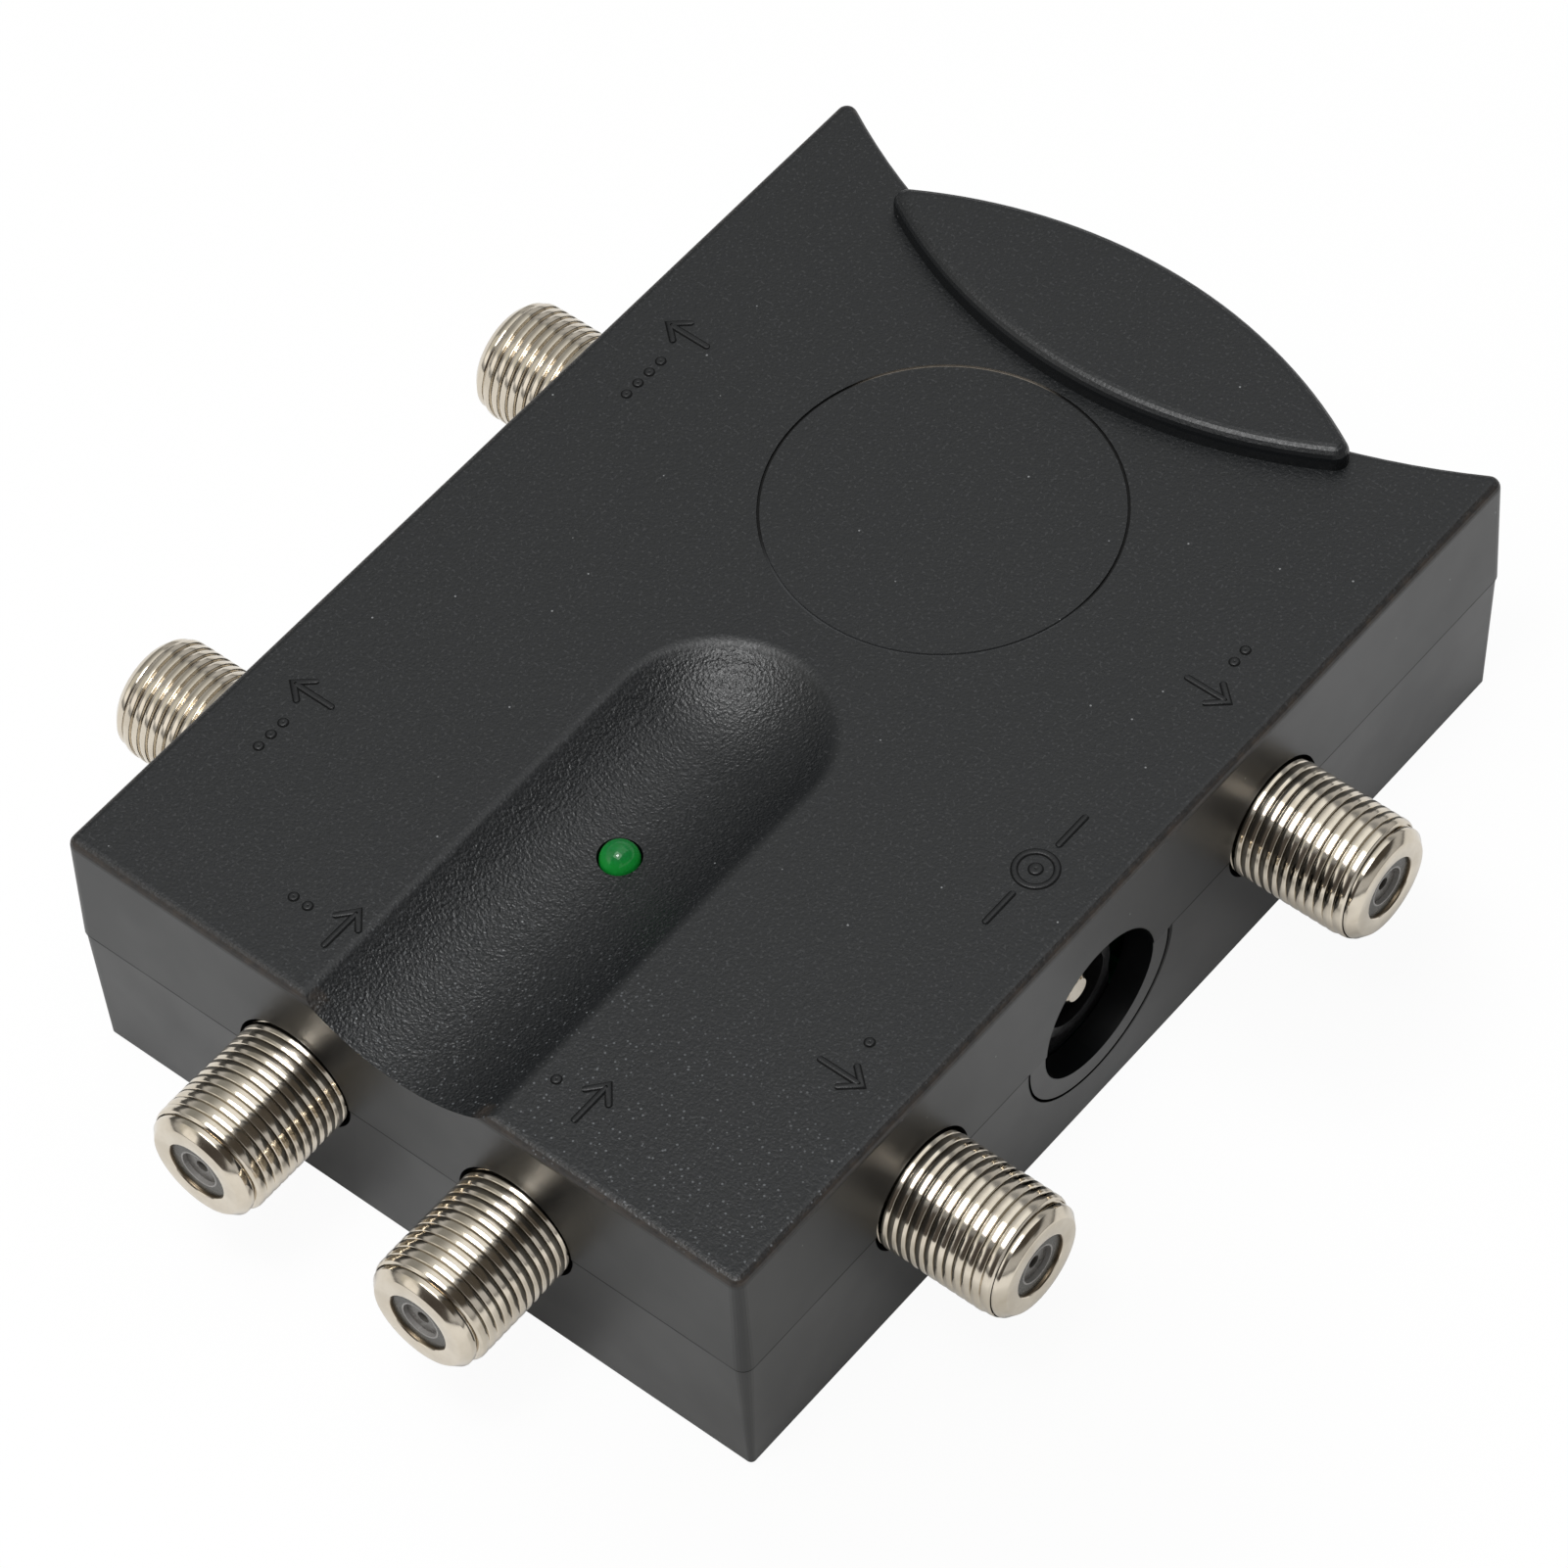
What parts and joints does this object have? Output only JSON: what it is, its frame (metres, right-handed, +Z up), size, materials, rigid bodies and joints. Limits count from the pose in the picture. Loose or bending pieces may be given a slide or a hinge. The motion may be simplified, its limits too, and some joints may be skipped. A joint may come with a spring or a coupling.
{
  "type": "tv signal amplifier",
  "caption": "Flat black plastic housing with a hollow rear edge, a leaf-shaped pad, a finger channel, threaded coaxial ports on the front and sides, and a round power socket.",
  "frame": {"origin": "middle of the bounding box's bottom face, on the table", "axes": "+Z up, -Y towards the side with two ports, +X towards the side with the power socket"},
  "size_m": [0.0816, 0.0974, 0.0255],
  "materials": {
    "housing": "matt moulded plastic with a fine grain",
    "port_metal": "nickel plated, satin",
    "port_block": "cast and plated",
    "port_core": "pale translucent plastic",
    "contact_metal": "plated spring metal",
    "socket_plastic": "smooth moulded plastic",
    "lamp": "clear green resin",
    "screw": "zinc plated",
    "board": "solder mask",
    "tinned": "tin plated sheet",
    "chip": "moulded resin",
    "capacitor": "sleeved can",
    "ferrite": "dull",
    "copper_wire": "enamelled",
    "chip_ceramic": "dull"
  },
  "bodies": {
    "root": {"upper_shell": "housing", "lower_shell": "housing", "housing_screws": "screw", "circuit_board": "board", "board_screws": "screw", "in1_barrel": "port_metal", "in1_block": "port_block", "in1_insulator": "port_core", "in1_contact": "contact_metal", "in2_barrel": "port_metal", "in2_block": "port_block", "in2_insulator": "port_core", "in2_contact": "contact_metal", "out1_barrel": "port_metal", "out1_block": "port_block", "out1_insulator": "port_core", "out1_contact": "contact_metal", "out2_barrel": "port_metal", "out2_block": "port_block", "out2_insulator": "port_core", "out2_contact": "contact_metal", "out3_barrel": "port_metal", "out3_block": "port_block", "out3_insulator": "port_core", "out3_contact": "contact_metal", "out4_barrel": "port_metal", "out4_block": "port_block", "out4_insulator": "port_core", "out4_contact": "contact_metal", "socket_body": "socket_plastic", "socket_pin": "port_metal", "socket_terminal": "tinned", "socket_spring": "tinned", "lamp_lens": "lamp", "lamp_leads": "tinned", "shield_can": "tinned", "amplifier_chip": "chip", "voltage_regulator": "chip", "input_capacitor": "capacitor", "output_capacitor": "capacitor", "splitter_core_1": "ferrite", "splitter_core_2": "ferrite", "splitter_core_3": "ferrite", "splitter_winding_1": "copper_wire", "splitter_winding_2": "copper_wire", "splitter_winding_3": "copper_wire", "choke_1": "ferrite", "choke_2": "ferrite", "input_diode": "chip", "chip_parts": "chip_ceramic"}
  },
  "joints": []
}
